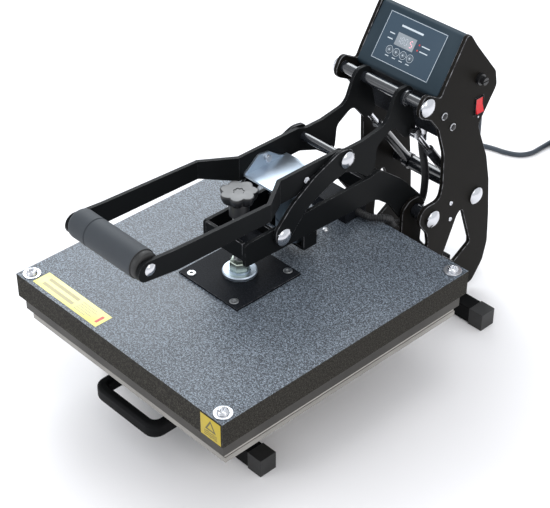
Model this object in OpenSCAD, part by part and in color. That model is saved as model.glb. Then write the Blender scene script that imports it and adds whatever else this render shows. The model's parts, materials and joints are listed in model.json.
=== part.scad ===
// Tabletop heat press: a clamshell press with a slide-out lower plate, opened by gas struts.
// Built with y = 0 at the front edge of the heater cover, then moved over the middle of its footprint.

/* [Platens] */
// Width of the heater cover
cover_w = 400; // [300:1:500]
// Depth of the heater cover
cover_d = 430; // [340:1:540]
// Height of the heater cover
cover_h = 36; // [28:1:50]
// Sheet thickness of the heater cover
cover_t = 1.5; // [1:0.1:2.5]
// How far the heating platen stands in from the cover's edge
platen_inset = 6; // [3:0.5:10]
// Thickness of the heating platen
platen_t = 20.7; // [15:0.1:28]
// How far the lower plate stands in from the cover's edge
lower_inset = 10; // [6:0.5:20]
// Thickness of the lower plate
lower_t = 8; // [5:0.5:12]
// Thickness of the silicone pad
pad_t = 9; // [5:0.5:12]
// Gap left between pad and platen when closed
pad_gap = 0.3; // [0.1:0.1:1]

/* [Base] */
// Side of the square foot tubes
foot_tube = 25; // [20:1:32]
// Wall of every square tube
tube_wall = 2; // [1.5:0.1:3]
// Height of the base rails
base_rail_h = 49; // [36:1:60]
// Width of a base rail
base_rail_w = 24; // [20:1:30]
// Height of the slide rails on the base
slide_h = 12; // [8:1:16]
// Height of the drawer runners above the slide rails
runner_h = 16.7; // [12:0.1:24]

/* [Frame] */
// Distance from the middle to the inner face of a frame plate
frame_in = 72; // [66:1:90]
// Thickness of a frame plate
frame_t = 6; // [4:0.5:8]
// Radius of every frame shaft
shaft_r = 8; // [6:0.5:9]
// Radius of the domed shaft caps
cap_r = 13; // [11:0.5:15]
// Inner face of the lever and arm plates
arm_in = 34.5; // [28:0.5:36]
// Thickness of the lever, arm and link plates
plate_t = 5; // [4:0.1:5.2]
// Radius of the toggle shafts
toggle_r = 6; // [5:0.5:6.5]

/* [Handle] */
// Distance from the middle to the inner face of a handle bar
bar_in = 64; // [56:1:68]
// Radius of the foam grip
foam_r = 19.5; // [15:0.5:22]
// Height of a handle bar
bar_h = 27; // [22:1:32]

/* [Pressure screw] */
// Radius of the pressure screw
screw_r = 8; // [6:0.5:10]
// Radius of the star knob over its lobes
knob_r = 25.5; // [20:0.5:28]
// Side of the square mounting plate
mount_w = 112; // [100:1:130]

/* [Control box] */
// Width of the printed panel film
film_w = 102; // [90:1:120]
// Height of the printed panel film
film_h = 69; // [60:1:76]
// Width of the display
display_w = 33; // [24:1:40]
// Height of the display
display_h = 18; // [12:1:22]
// Diameter of a panel button
button_d = 8; // [6:0.5:10]
// Distance between panel buttons
button_pitch = 12.2; // [11:0.1:14]

/* [Cord] */
// Diameter of the power cord
cord_d = 8; // [6:0.5:9]

/* [Hidden] */
$fn = 48;
fit = 0.05;      // radial running clearance of a shaft in its hole
slip = 0.3;      // clearance of a piece that slides or is slipped on
sheet = 2;       // thickness of the control box sheet
lift = 1;        // rubber under the foot tubes
rail_z = lift + foot_tube;
slide_z = rail_z + base_rail_h;
runner_z = slide_z + slide_h + slip;
lower_z = runner_z + runner_h;
pad_z = lower_z + lower_t;
platen_z = pad_z + pad_t + pad_gap;
cover_z = platen_z + platen_t;
top = cover_z + cover_h;
half_w = cover_w / 2;

// Pivots, each as [y, z]
D = [cover_d + 66, top - 10];
A = D + [-26, 187];
R = D + [91, -3];
screw_y = cover_d / 2 - 5;
C = [screw_y + 34, top + 66];
B = [(A[0] + C[0]) / 2, top + 132];
E = A + [15, -58];
G = [11, top + 146];

frame_out = frame_in + frame_t;
arm_out = arm_in + plate_t;
link_in = arm_out + 1;
link_out = link_in + plate_t;
bar_out = bar_in + plate_t;
foot_x = half_w - 42;
foot_front = 111.5;
foot_back = D[0] + 42.7;
foot_box = foot_tube + 2 * lift;
back_y = D[0] + 129;
rail_y = [foot_front - foot_box / 2, foot_back + foot_box / 2];
rail_x = frame_in - 1 - base_rail_w;
panel_p = A + [35, 18];                 // foot of the panel's printed area
panel_a = 55.4;                         // lean of the panel above level
magnet_y = screw_y + 94;
magnet_r = 22;
film_at = [-53, -8];                    // the film's lower left corner on the panel
display_at = [-26.5, 20];               // the display's lower left corner on the panel
button_x = [for (i = [0:3]) -29 + button_pitch * i];
button_y = 11.6;
magnet_foot = top + 48;
web_z = top + 117;                      // underside of the bent bracket that the magnet holds
bolt_p = [magnet_y - 16, web_z + 13];
strut_x = link_in + 7.5;
strut_r = 7;
strut_len = norm(E - R);
strut_a = atan2(E[1] - R[1], E[0] - R[0]);
wire_box = [[-50, cover_d - 40], [15, cover_d]];
gland_y = A[0] + 52;
switch_p = A + [107, -40];
fuse_p = A + [103, 3];
mid_y = (G[0] - foam_r + back_y) / 2;

// ---- helpers ----

function unit(v) = v / norm(v);
function turn(v) = [-v[1], v[0]];
function xy(p) = [p[0], p[1]];

// The points of an arc of radius r that rounds the corner b between a and c
function corner(a, b, c, r, n = 6) = let (
    u = unit(a - b), w = unit(c - b), h = acos(u * w) / 2, o = b + unit(u + w) * r / sin(h),
    p = b + u * r / tan(h) - o, q = b + w * r / tan(h) - o, s = atan2(p[1], p[0]),
    d = ((atan2(q[1], q[0]) - s + 540) % 360) - 180)
  [for (i = [0:n]) o + r * [cos(s + d * i / n), sin(s + d * i / n)]];

// A closed outline from [y, z, r] corners, r being each corner's radius
function outline(p) = let (n = len(p)) [for (i = [0:n - 1]) each
    p[i][2] == 0 ? [xy(p[i])] : corner(xy(p[(i + n - 1) % n]), xy(p[i]), xy(p[(i + 1) % n]), p[i][2])];

// The same corners moved inwards by t, for points that go anticlockwise
function inset(p, t) = let (n = len(p)) [for (i = [0:n - 1]) let (
    b = xy(p[i]), u = unit(b - xy(p[(i + n - 1) % n])), w = unit(xy(p[(i + 1) % n]) - b),
    m = turn(u) + turn(w), q = b + m * 2 * t / (m * m)) [q[0], q[1], max(p[i][2] - t, 0)]];

module both() {
  children();
  mirror([1, 0, 0]) children();
}

// Turns a drawing of the side view into a plate from x0 to x1
module side(x0, x1) translate([x0, 0, 0]) rotate([90, 0, 90]) linear_extrude(x1 - x0) children();

module dot(p, r) translate(p) circle(r);

// A rod along x at the pivot p
module rod(p, r, x0, x1) side(x0, x1) dot(p, r);

module block(lo, hi) translate(lo) cube(hi - lo);

// A domed cap of radius r on the face x, with its rim and its dome
module dome(p, x, r, rim, h) {
  ball = (r * r + h * h) / (2 * h);
  translate([x, p[0], p[1]]) rotate([0, 90, 0]) rotate_extrude()
    union() {
      square([r, rim]);
      intersection() {
        translate([0, rim + h - ball]) circle(ball, $fn = 96);
        translate([0, rim]) square([r, h]);
      }
    }
}

module upright_rod(p, r, z0, z1) translate([p[0], p[1], z0]) cylinder(r = r, h = z1 - z0);

// Places children on the panel: x across, y up the panel, z out of it
module on_panel() translate([0, panel_p[0], panel_p[1]]) rotate([panel_a, 0, 0]) children();

// Places children on a gas strut: x across, y along it from the rear eye
module on_strut() translate([0, R[0], R[1]]) rotate([strut_a, 0, 0]) children();

// A round tube swept along points, with n sides
module sweep(pts, r, n) {
  m = len(pts);
  rings = [for (i = [0:m - 1]) let (
      t = unit(pts[min(i + 1, m - 1)] - pts[max(i - 1, 0)]),
      a = unit(cross(t, abs(t[0]) > 0.9 ? [0, 1, 0] : [1, 0, 0])), b = cross(t, a))
    [for (k = [0:n - 1]) pts[i] + r * (a * cos(360 * k / n) + b * sin(360 * k / n))]];
  // a ring starts where it lies closest to the first corner of the ring before it
  first = [for (i = 0, k = 0; i < m; i = i + 1,
      k = i < m ? nearest(rings[i], rings[i - 1][k], n) : 0) k];
  polyhedron(points = [for (i = [0:m - 1]) for (k = [0:n - 1]) rings[i][(k + first[i]) % n]],
    faces = concat([[for (k = [0:n - 1]) k]], [[for (k = [n - 1:-1:0]) (m - 1) * n + k]],
      [for (i = [0:m - 2]) for (k = [0:n - 1]) each let (a = i * n + k, b = i * n + (k + 1) % n)
        [[b, a, a + n], [b, a + n, b + n]]]));
}
function nearest(ring, p, n) = let (d = [for (q = ring) norm(q - p)], least = min(d))
  [for (k = [0:n - 1]) if (d[k] == least) k][0];

// A smooth curve through points, s steps to a span
function spline(p, s) = let (n = len(p) - 1) concat([for (i = [0:n - 1]) for (j = [0:s - 1])
    let (t = j / s, a = p[max(i - 1, 0)], b = p[i], c = p[i + 1], d = p[min(i + 2, n)])
    b + t * (c - a) / 2 + t * t * (a - 2.5 * b + 2 * c - d / 2) + t * t * t * (1.5 * (b - c) + (d - a) / 2)],
  [p[n]]);

// ---- frame ----

frame_corners = [
  [A[0] + 35, A[1] + 18, 0], [A[0] + 27, A[1] + 3, 4], [A[0] - 4, A[1] + 20, 10], [A[0] - 20, A[1] - 8, 14],
  [A[0] + 10, A[1] - 24, 8], [A[0] + 27, A[1] - 45, 20], [A[0] + 42, A[1] - 90, 60], [A[0] + 44, A[1] - 141, 30],
  [D[0] + 14, D[1] + 24, 12], [D[0] - 22, D[1] + 24, 16], [D[0] - 26, D[1] + 2, 12], [D[0] - 8, D[1] - 22, 14],
  [D[0] - 4, D[1] - 42, 10], [D[0] - 60, rail_z + 20, 20], [D[0] - 60, 9, 4], [foot_back - foot_box / 2 - 3, 9, 0],
  [foot_back - foot_box / 2 - 3, foot_box + 3, 0], [foot_back + foot_box / 2 + 3, foot_box + 3, 0],
  [foot_back + foot_box / 2 + 3, 9, 0], [back_y - 28, 9, 14], [back_y - 7, 38, 16], [back_y, D[1] - 100, 40],
  [back_y - 3, D[1] - 50, 40], [back_y - 10, D[1] + 12, 60], [back_y - 20, D[1] + 55, 40],
  [back_y - 45, A[1] - 72, 10], [back_y - 12, A[1] - 22, 14], [back_y - 17, A[1] + 2, 14],
  [A[0] + 94, A[1] + 56, 6], [A[0] + 79, A[1] + 77, 7], [A[0] + 71, A[1] + 76, 5]];

leg_hole = [[D[0] + 64, D[1] - 11, 5], [D[0] + 54, D[1] - 20, 10], [D[0] + 29, D[1] - 77, 3],
  [D[0] + 56, D[1] - 101, 3], [D[0] + 89, D[1] - 82, 6]];

module frame_plate() color("#272422") side(frame_in, frame_out) difference() {
  polygon(outline(frame_corners));
  polygon(outline(leg_hole));
  for (p = [A, D, R]) dot(p, shaft_r + fit);
  children();
}
module frame_plate_right() frame_plate() {
  translate(switch_p + [-8.6, -13.2]) square([17.2, 26.4]);
  dot(fuse_p, 6 + fit);
}
module frame_plate_left() mirror([1, 0, 0]) frame_plate();

module square_tube(w, h, wall) difference() {
  square([w, h]);
  translate([wall, wall]) square([w - 2 * wall, h - 2 * wall]);
}
module foot_tubes() color("#1D1D1F") for (y = [foot_front, foot_back])
  side(-foot_x + sheet, foot_x - sheet) translate([y - foot_tube / 2, lift]) square_tube(foot_tube, foot_tube, tube_wall);
module foot_pads() color("#161617") for (y = [foot_front, foot_back]) both() difference() {
  block([foot_x - 24, y - foot_box / 2, 0], [foot_x, y + foot_box / 2, foot_box]);
  block([foot_x - 25, y - foot_tube / 2, lift], [foot_x - sheet, y + foot_tube / 2, lift + foot_tube]);
}
module base_rails() color("#1D1D1F") both() difference() {
  block([rail_x, rail_y[0], rail_z], [rail_x + base_rail_w, rail_y[1], slide_z]);
  block([rail_x + tube_wall, rail_y[0] - 1, rail_z + tube_wall],
    [rail_x + base_rail_w - tube_wall, rail_y[1] + 1, slide_z - tube_wall]);
}
module hinge_uprights() color("#242220") both() side(rail_x - plate_t, rail_x) difference() {
  polygon(outline([[D[0] - 26, rail_z + 6, 3], [D[0] + 35, rail_z + 6, 3], [D[0] + 35, D[1] - 84, 8],
    [D[0] + 14, D[1] - 58, 12], [D[0] + 19, D[1] + 8, 14], [D[0] + 6, D[1] + 19, 14], [D[0] - 12, D[1] + 19, 14],
    [D[0] - 26, D[1] + 8, 14]]));
  dot(D, shaft_r + fit);
}
module slide_rails() color("silver") both() difference() {
  block([rail_x + 5, rail_y[0], slide_z], [rail_x + 19, D[0], slide_z + slide_h]);
  block([rail_x + 7, rail_y[0] - 1, slide_z + 2], [rail_x + 17, D[0] + 1, slide_z + slide_h - 2]);
}

// ---- shafts ----

module top_shaft() color("#2A2A2C") union() {
  rod(A, shaft_r, -frame_out, frame_out);
  both() rod(A, shaft_r + 3, arm_out + 0.5, arm_out + 6);
}
module hinge_shaft() color("#2A2A2C") union() {
  rod(D, shaft_r, -frame_out, frame_out);
  rod(D, shaft_r + 2, -arm_in + 0.5, arm_in - 0.5);
  both() rod(D, shaft_r + 3, rail_x + 0.5, frame_in);
  both() rod(D, shaft_r + 5, frame_in - 4, frame_in);
}
module rear_shaft() color("#2A2A2C") union() {
  rod(R, shaft_r, -frame_out, frame_out);
  rod(R, shaft_r + 3, -strut_x + strut_r + 1, strut_x - strut_r - 1);
}
module shaft_caps() color("silver") both() for (p = [A, D, R]) dome(p, frame_out, cap_r, 3, 5);

// ---- control box ----

box_corners = [[A[0] + 73, A[1] + 74, 5], [A[0] + 69.7, A[1] + 68.3, 0], [A[0] + 23.6, A[1] + 1.5, 6],
  [A[0] + 39, A[1] - 17, 12], [A[0] + 39, A[1] - 70, 8], [A[0] + 107, A[1] - 70, 4], [back_y - 17, A[1] - 24, 10],
  [back_y - 19, A[1] - 1, 10], [A[0] + 92, A[1] + 53, 6], [A[0] + 82, A[1] + 74, 4]];
box_x = frame_in - 0.2;

module box_sheet() difference() {
  side(-box_x, box_x) difference() {
    polygon(outline(box_corners));
    polygon(outline(inset(box_corners, sheet)));
  }
  upright_rod([gland_x, gland_y], 6 + fit, A[1] - 80, A[1] - 60);
  cord_exit() translate([0, 0, -10]) cylinder(r = 6 + fit, h = 12);
}
// The panel takes the leaning face with its upper and lower bends
module panel_side() on_panel() translate([-frame_in, -40, -7]) cube([2 * frame_in, 140, 20]);
module panel_window(z0, z1) translate([display_at[0], display_at[1], z0]) cube([display_w, display_h, z1 - z0]);
module button_holes(z0, z1) for (x = button_x)
  translate([x, button_y, z0]) cylinder(d = button_d + 2 * slip, h = z1 - z0);
module control_panel() color("#34434F") difference() {
  intersection() { box_sheet(); panel_side(); }
  on_panel() {
    panel_window(-9, 2);
    button_holes(-9, 3);
  }
}
module control_housing() color("#232325") difference() { box_sheet(); panel_side(); }
module panel_film() color("#46586A") on_panel() difference() {
  translate([film_at[0], film_at[1], 0.1]) cube([film_w, film_h, 0.3]);
  panel_window(-1, 2);
  button_holes(-1, 2);
}
module display() color("#B9C0C6") on_panel() translate([display_at[0] + fit, display_at[1] + fit, -6])
  cube([display_w - 2 * fit, display_h - 2 * fit, 6.6]);
module circuit_board() color("#1F5A38") on_panel() union() {
  block([-50, -4, -12], [46, 56, -10.4]);
  block([14, 28, -26], [42, 52, -12]);
  block([-44, 26, -20], [-20, 50, -12]);
}
module panel_button(i) color("#D8DDE0") on_panel() translate([button_x[i], button_y, -4])
  union() { cylinder(d = button_d, h = 5); translate([0, 0, -1]) cylinder(d = button_d + 2, h = 1.4); }
module button_1() panel_button(0);
module button_2() panel_button(1);
module button_3() panel_button(2);
module button_4() panel_button(3);

module switch_bezel() color("#18181A") side(frame_in - 8, frame_out + 2) difference() {
  translate(switch_p + [-8.4, -13]) square([16.8, 26]);
  translate(switch_p + [-7.3, -12]) square([14.6, 24]);
}
// The rocker with the short pins that it tilts on
module rocker_switch() color("red") union() {
  translate([frame_out - 2, switch_p[0] - 7, switch_p[1]]) rotate([90, 10, 180]) mirror([1, 0, 0])
    linear_extrude(14) polygon([[4.4, 10.6], [3, 0], [4.4, -10.6], [-4.5, -8], [-4.5, 8]]);
  translate([frame_out - 2, switch_p[0] - 7.2, switch_p[1]]) rotate([-90, 0, 0]) cylinder(r = 1.5, h = 14.4);
}
module fuse_holder() color("#1A1A1C") union() {
  rod(fuse_p, 6, frame_in - 18, frame_out);
  rod(fuse_p, 8, frame_out, frame_out + 5);
  difference() {
    rod(fuse_p, 5.5, frame_out + 5, frame_out + 12);
    block([frame_out + 10.5, fuse_p[0] - 6, fuse_p[1] - 0.8], [frame_out + 13, fuse_p[0] + 6, fuse_p[1] + 0.8]);
  }
}
module side_screws() color("silver") both() {
  for (p = [A + [36, -28], A + [55, -52]]) dome(p, frame_out, 5.5, 1.5, 2);
  for (p = [D + [38, 8], D + [39, -19]]) dome(p, frame_out, 3.5, 0.6, 1.2);
  dome(A + [108, -58], frame_out, 1.6, 0.3, 0.6);
}

// ---- conduit and power cord ----

gland_x = 28;
module conduit_gland() color("silver") difference() {
  union() {
    upright_rod([gland_x, gland_y], 6, A[1] - 72, A[1] - 62);
    translate([gland_x, gland_y, A[1] - 80]) cylinder(r = 9, h = 10 - fit, $fn = 6);
    upright_rod([gland_x, gland_y], 7.5, A[1] - 92, A[1] - 80);
  }
  upright_rod([gland_x, gland_y], 4, A[1] - 93, A[1] - 60);
}
conduit_path = [[gland_x, gland_y, A[1] - 92], [29, D[0] + 29, D[1] + 74], [30, D[0] + 34, D[1] + 50],
  [30, D[0] + 37, D[1] + 25], [30, D[0] + 34, D[1] - 4], [29, D[0] + 22, D[1] - 22], [28, D[0] + 2, D[1] - 29],
  [30, D[0] - 22, D[1] - 22], [40, D[0] - 42, D[1] - 4], [50, D[0] - 56, D[1] + 12], [50, cover_d - 1, top + 9],
  [38, cover_d - 13, top + 9], [25, cover_d - 16, top + 9], [15.5, cover_d - 16, top + 9]];
module conduit() color("#1B1B1D") sweep(spline(conduit_path, 3), 5.6, 12);

// The cord leaves the rear slope of the control box through a tapered sleeve
exit_a = -124;
module cord_exit() translate([40, A[0] + 122.5, A[1] - 47]) rotate([exit_a, 0, 0]) children();
module cord_gland() color("#141415") cord_exit() union() {
  translate([0, 0, -6]) cylinder(r = 6, h = 8);
  translate([0, 0, 0.2]) cylinder(r = 9, h = 5);
  translate([0, 0, 5]) cylinder(r1 = 6.5, r2 = 5, h = 21);
}
// The cord drops behind the frame, crosses the floor and ends in a coil with the plug on it
cord_path = [[40, 614, 294], [40, 621, 287], [40, 626, 278], [40, 629, 266], [40, 630, 240], [40, 630, 190],
  [40, 630, 140], [40, 630, 90], [40, 630, 62], [40, 631, 44], [39, 635, 29], [36, 642, 17], [30, 652, 9],
  [23, 664, 5.4], [12, 678, 4.2], [-8, 700, 4], [-42, 734, 4], [-82, 772, 4], [-124, 812, 4], [-158, 843, 4],
  [-174, 863, 4], [-175, 885, 4], [-162, 900, 4], [-142, 908, 4], [-118, 914, 4], [-98, 925, 4], [-88, 943, 4],
  [-87, 965, 4], [-87, 990, 4], [-87, 1006, 4]];
tail_path = [[-15, 1050, 12], [-5, 1043, 15], [1, 1033, 18], [3, 1022, 22], [3, 1011, 24]];
coil_c = [-35, 1015];
module power_cord() color("#2A3038") union() {
  sweep(spline(cord_path, 2), cord_d / 2, 8);
  sweep(spline(tail_path, 2), cord_d / 2, 8);
}
module cord_coil() color("#2A3038") translate([coil_c[0], coil_c[1], 0]) rotate_extrude()
  polygon(let (c = cord_d, m = 6 * cord_d) [[m - c, 0], [m + c, 0], [m + c, c], [m + c / 2, 2 * c - 1], [m - 1.5 * c, 2 * c - 1], [m - 1.5 * c, c]]);
module plug() color("#1A1A1C") union() {
  block([-13, 974, 15.4], [19, 1004, 32.6]);
  translate([3, 1004, 24]) rotate([-90, 0, 0]) cylinder(r1 = 8, r2 = 5, h = 7);
  for (x = [-6.5, 12.5]) translate([x, 975, 24]) rotate([90, 0, 0]) cylinder(d = 4.8, h = 19);
}

// ---- drawer ----

module lower_plate() color("#8E8B85") block([-half_w + lower_inset, lower_inset + 2, lower_z],
  [half_w - lower_inset, cover_d - lower_inset + 1, pad_z]);
module silicone_pad() color("#B9B4AB") block([-half_w + lower_inset + 1, lower_inset + 3, pad_z],
  [half_w - lower_inset - 1, cover_d - lower_inset, pad_z + pad_t]);
// Two runners that straddle the slide rails, joined by a front and a rear cross plate
module drawer_carriage() color("#1D1D1F") union() {
  both() difference() {
    block([rail_x + 1, 60, slide_z + 4], [rail_x + 23, cover_d - 20, lower_z]);
    block([rail_x + 5 - slip, 59, slide_z + 3], [rail_x + 19 + slip, cover_d - 19, slide_z + slide_h + slip]);
  }
  block([-rail_x - 24, 56, rail_z + 20], [rail_x + 24, 60, lower_z]);
  block([-rail_x - 1, cover_d - 40, lower_z - 6], [rail_x + 1, cover_d - 20, lower_z]);
}
bow = [62, 6, 56];      // half width, front and back of the pull handle
module drawer_handle() color("#161617") translate([0, 0, rail_z + 27]) linear_extrude(22) difference() {
  polygon(outline([[-bow[0], bow[2], 0], [-bow[0], bow[1], 18], [bow[0], bow[1], 18], [bow[0], bow[2], 0]]));
  polygon(outline([[-bow[0] + 14, bow[2] + 1, 0], [-bow[0] + 14, bow[1] + 14, 8],
    [bow[0] - 14, bow[1] + 14, 8], [bow[0] - 14, bow[2] + 1, 0]]));
}

// ---- arm with the heater ----

arm_corners = [[screw_y - 26, top + 44, 4], [D[0] - 74, top + 38, 30], [D[0] - 46, D[1] + 26, 20],
  [D[0] - 14, D[1] - 19, 16], [D[0] + 16, D[1] - 19, 17], [D[0] + 19, D[1] + 12, 16], [D[0] - 10, D[1] + 44, 16],
  [D[0] - 24, D[1] + 58, 12], [D[0] - 68, D[1] + 92, 16], [D[0] - 84, top + 78, 16], [screw_y - 26, top + 78, 4]];
module arm_plates() color("#222124") both() side(arm_in, arm_out) difference() {
  polygon(outline(arm_corners));
  dot(D, shaft_r + fit);
  dot(C, toggle_r + fit);
}
module arm_cross_plates() color("#222124") union() {
  side(-arm_in, arm_in) {
    translate([screw_y - 26, top + 52]) square([5, 26]);
    translate([screw_y + 21, top + 52]) square([5, 26]);
    translate([magnet_y - 12, top + 14]) square([24, 4]);
    translate([D[0] - 90, top + 50]) square([6, 22]);
  }
  both() side(arm_in - 4, arm_in) translate([magnet_y - 12, top + 14]) square([24, 58]);
}
module nut_block() color("#9FA3A6") difference() {
  block([-22, screw_y - 21, top + 50], [22, screw_y + 21, top + 66]);
  upright_rod([0, screw_y], screw_r + fit, top + 49, top + 67);
}
// The post that the magnet stands on, with a narrower neck under the magnet
module magnet_post() color("#8B8F93") union() {
  upright_rod([0, magnet_y], magnet_r, top + 18, magnet_foot - 2);
  upright_rod([0, magnet_y], magnet_r - 4, top + 18, magnet_foot);
}
module electromagnet() color("#A9ADB0") difference() {
  upright_rod([0, magnet_y], magnet_r, magnet_foot, web_z - slip);
  difference() {
    upright_rod([0, magnet_y], magnet_r - 4, web_z - slip - 2, web_z);
    upright_rod([0, magnet_y], magnet_r - 12, web_z - slip - 3, web_z + 1);
  }
}
module link_shaft() color("silver") {
  rod(C, toggle_r, -link_out, link_out);
  both() dome(C, link_out + slip, 12, 2.5, 4.5);
  both() rod(C, toggle_r - 1, link_out, link_out + slip);
}
module mount_plate() color("#1B1B1D") difference() {
  block([-mount_w / 2, screw_y - mount_w / 2, top], [mount_w / 2, screw_y + mount_w / 2, top + 3]);
  for (p = mount_holes) upright_rod(p, 3 + fit, top - 1, top + 4);
}
mount_holes = [for (x = [-1, 1], y = [-1, 1]) [x * (mount_w / 2 - 15), screw_y + y * (mount_w / 2 - 9)]];
corner_bolts = [for (x = [-1, 1], y = [0, 1]) [x * (half_w - 14.7), y * cover_d + (1 - 2 * y) * 14.7]];
stud_holes = [[8, cover_d - 71], [3, cover_d - 86]];
module cover_fasteners() color("silver") {
  for (p = corner_bolts) union() {
    upright_rod(p, 12, top, top + 1.5);
    upright_rod(p, 7.5, top + 1.5, top + 6);
    upright_rod(p, 3, platen_z + 10, top + 1);
  }
  for (p = mount_holes) union() {
    upright_rod(p, 3, cover_z - 4, top + 3);
    upright_rod(p, 6, top + 3, top + 4.2);
  }
  for (p = stud_holes) union() {
    upright_rod(p, 4.5, top, top + 4);
    upright_rod(p, 2.5, cover_z, top + 1);
  }
}
module fastener_holes(z0, z1) {
  for (p = concat(corner_bolts, mount_holes)) upright_rod(p, 3 + fit, z0, z1);
  for (p = stud_holes) upright_rod(p, 2.5 + fit, z0, z1);
}
module cover() color("#2E3238") difference() {
  block([-half_w, 0, cover_z], [half_w, cover_d, top]);
  block([-half_w + cover_t, cover_t, cover_z - 1], [half_w - cover_t, cover_d - cover_t, top - cover_t]);
  fastener_holes(top - 5, top + 1);
  upright_rod([-20, cover_d - 20], 7, top - 5, top + 1);
}
module insulation() color("#D9D2C0") difference() {
  block([-half_w + cover_t + slip, cover_t + slip, cover_z], [half_w - cover_t - slip, cover_d - cover_t - slip,
    top - cover_t]);
  fastener_holes(cover_z - 1, top);
}
module heating_platen() color("#3B3936") difference() {
  block([-half_w + platen_inset, platen_inset, platen_z], [half_w - platen_inset, cover_d - platen_inset, cover_z]);
  fastener_holes(platen_z + 10, cover_z + 1);
}
module wiring_box() color("#26262A") difference() {
  block([wire_box[0][0], wire_box[0][1], top], [wire_box[1][0], wire_box[1][1], top + 19.5]);
  block([wire_box[0][0] + 1.5, wire_box[0][1] + 1.5, top - 1], [wire_box[1][0] - 1.5, wire_box[1][1] - 1.5, top + 18]);
}
module warning_labels() color("#E9D84A") {
  block([-half_w + 28, 6, top], [-half_w + 158, 33, top + 0.3]);
  block([half_w - 38, -0.3, top - 35], [half_w - 3, 0, top - 3]);
}
module swivel_flange() color("#A9ADB0") difference() {
  union() {
    upright_rod([0, screw_y], 23, top + 3, top + 9);
    upright_rod([0, screw_y], 12, top + 9, top + 24);
  }
  upright_rod([0, screw_y], 6 + fit, top + 5, top + 25);
}

// ---- pressure screw ----

module pressure_screw() color("#B4B8BB") union() {
  upright_rod([0, screw_y], 6, top + 5 + slip, top + 26);
  upright_rod([0, screw_y], screw_r, top + 26, top + 94 + 8);
}
module star_knob() color("#141416") difference() {
  union() {
    upright_rod([0, screw_y], 13, top + 94, top + 116);
    upright_rod([0, screw_y], knob_r - 6, top + 116, top + 130);
    for (i = [0:6]) translate([0, screw_y, 0]) rotate(i * 360 / 7)
      translate([knob_r - 7, 0, top + 116]) cylinder(r = 7, h = 14);
  }
  upright_rod([0, screw_y], screw_r, top + 93, top + 94 + 8);
}

// ---- lever ----

lever_corners = [[G[0] - 17, G[1] - 13, 12], [G[0] + 40, G[1] - bar_h + 6, 40], [screw_y - 10, top + 121.5, 30],
  [C[0], B[1] - 20, 20], [B[0] - 7, B[1] - 20, 14], [A[0] - 89, A[1] - 77, 8], [A[0] - 64, A[1] - 96, 8],
  [A[0] - 53, A[1] - 86, 8], [A[0] - 50, A[1] - 55, 12], [A[0] - 20, A[1] - 37, 12], [E[0] - 13, E[1] - 5, 6],
  [E[0] + 3, E[1] - 10, 6], [E[0] + 10, E[1] + 2, 6], [A[0] + 14, A[1] - 12, 8], [A[0] + 16, A[1] + 15, 14],
  [A[0] - 16, A[1] + 15, 14], [A[0] - 34, A[1] - 28, 20], [A[0] - 78, A[1] - 35, 20], [A[0] - 108, A[1] - 35, 14],
  [A[0] - 122, B[1] + 15, 10], [screw_y - 10, top + 147, 30], [G[0] + 40, G[1] + 8, 40], [G[0] - 17, G[1] + 13, 14]];
module lever_plates() color("#1E1E21") both() difference() {
  intersection() {
    translate([0, 0, top]) linear_extrude(300) polygon([[bar_in, -50], [bar_out, -50], [bar_out, screw_y - 9],
      [arm_out, C[0] + 1], [arm_out, A[0] + 60], [arm_in, A[0] + 60], [arm_in, C[0] - 1],
      [bar_in, screw_y - 11]]);
    side(arm_in - 5, bar_out + 5) polygon(outline(lever_corners));
  }
  rod(A, shaft_r + fit, arm_in - 1, arm_out + 1);
  rod(B, toggle_r + fit, arm_in - 1, arm_out + 1);
  rod(G, 4 + fit, bar_in - 1, bar_out + 1);
  rod(bolt_p, 3 + fit, arm_in - 1, arm_out + 1);
}
module grip_rod() color("silver") {
  rod(G, 8, -bar_in, bar_in);
  both() rod(G, 4, bar_in, bar_out);
  both() dome(G, bar_out, 8, 1, 3);
}
module foam_grip() color("#2B3036") difference() {
  rod(G, foam_r, -bar_in + 1, bar_in - 1);
  rod(G, 8 + fit, -bar_in, bar_in);
}
module toggle_shaft() color("#2A2A2C") rod(B, toggle_r, -arm_out, arm_out);
module u_bracket() color("#C9D6E0") difference() {
  union() {
    block([-arm_in + slip, C[0] + 6, web_z], [arm_in - slip, C[0] + 82, web_z + 3]);
    both() side(arm_in - 3 - slip, arm_in - slip) polygon(outline([[C[0] + 6, web_z, 0], [C[0] + 82, web_z, 0],
      [C[0] + 65, web_z + 8, 4], [C[0] + 49, web_z + 20, 6], [C[0] + 30, web_z + 23, 8], [C[0] + 6, web_z + 4, 2]]));
  }
  rod(bolt_p, 3 + fit, -arm_in, arm_in);
}
module bracket_bolts() color("silver") both() {
  rod(bolt_p, 3, arm_in - 6, arm_out);
  rod(bolt_p, 4.5, arm_out, arm_out + 3);
  rod(bolt_p, 5, arm_in - 8, arm_in - 3 - slip);
}

// ---- toggle links ----

module toggle_links() color("#1E1E21") both() side(link_in, link_out) difference() {
  polygon(outline([[C[0] - 12, C[1] - 12, 11], [C[0] + 12, C[1] - 10, 14], [C[0] + 40, C[1] + 22, 60],
    [B[0] - 32, B[1] - 26, 60], [B[0] + 12, B[1] - 14, 12], [B[0] + 12, B[1] + 13, 12], [B[0] - 12, B[1] + 17, 30],
    [C[0] + 56, C[1] + 65, 70], [C[0] + 16, C[1] + 40, 60], [C[0] - 12, C[1] + 12, 14]]));
  dot(C, toggle_r + fit);
  dot(B, toggle_r - 1 + fit);
}
module link_caps() color("silver") both() union() {
  rod(B, toggle_r - 1, link_in, link_out);
  dome(B, link_out, 12, 2.5, 4.5);
}

// ---- gas struts ----

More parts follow.
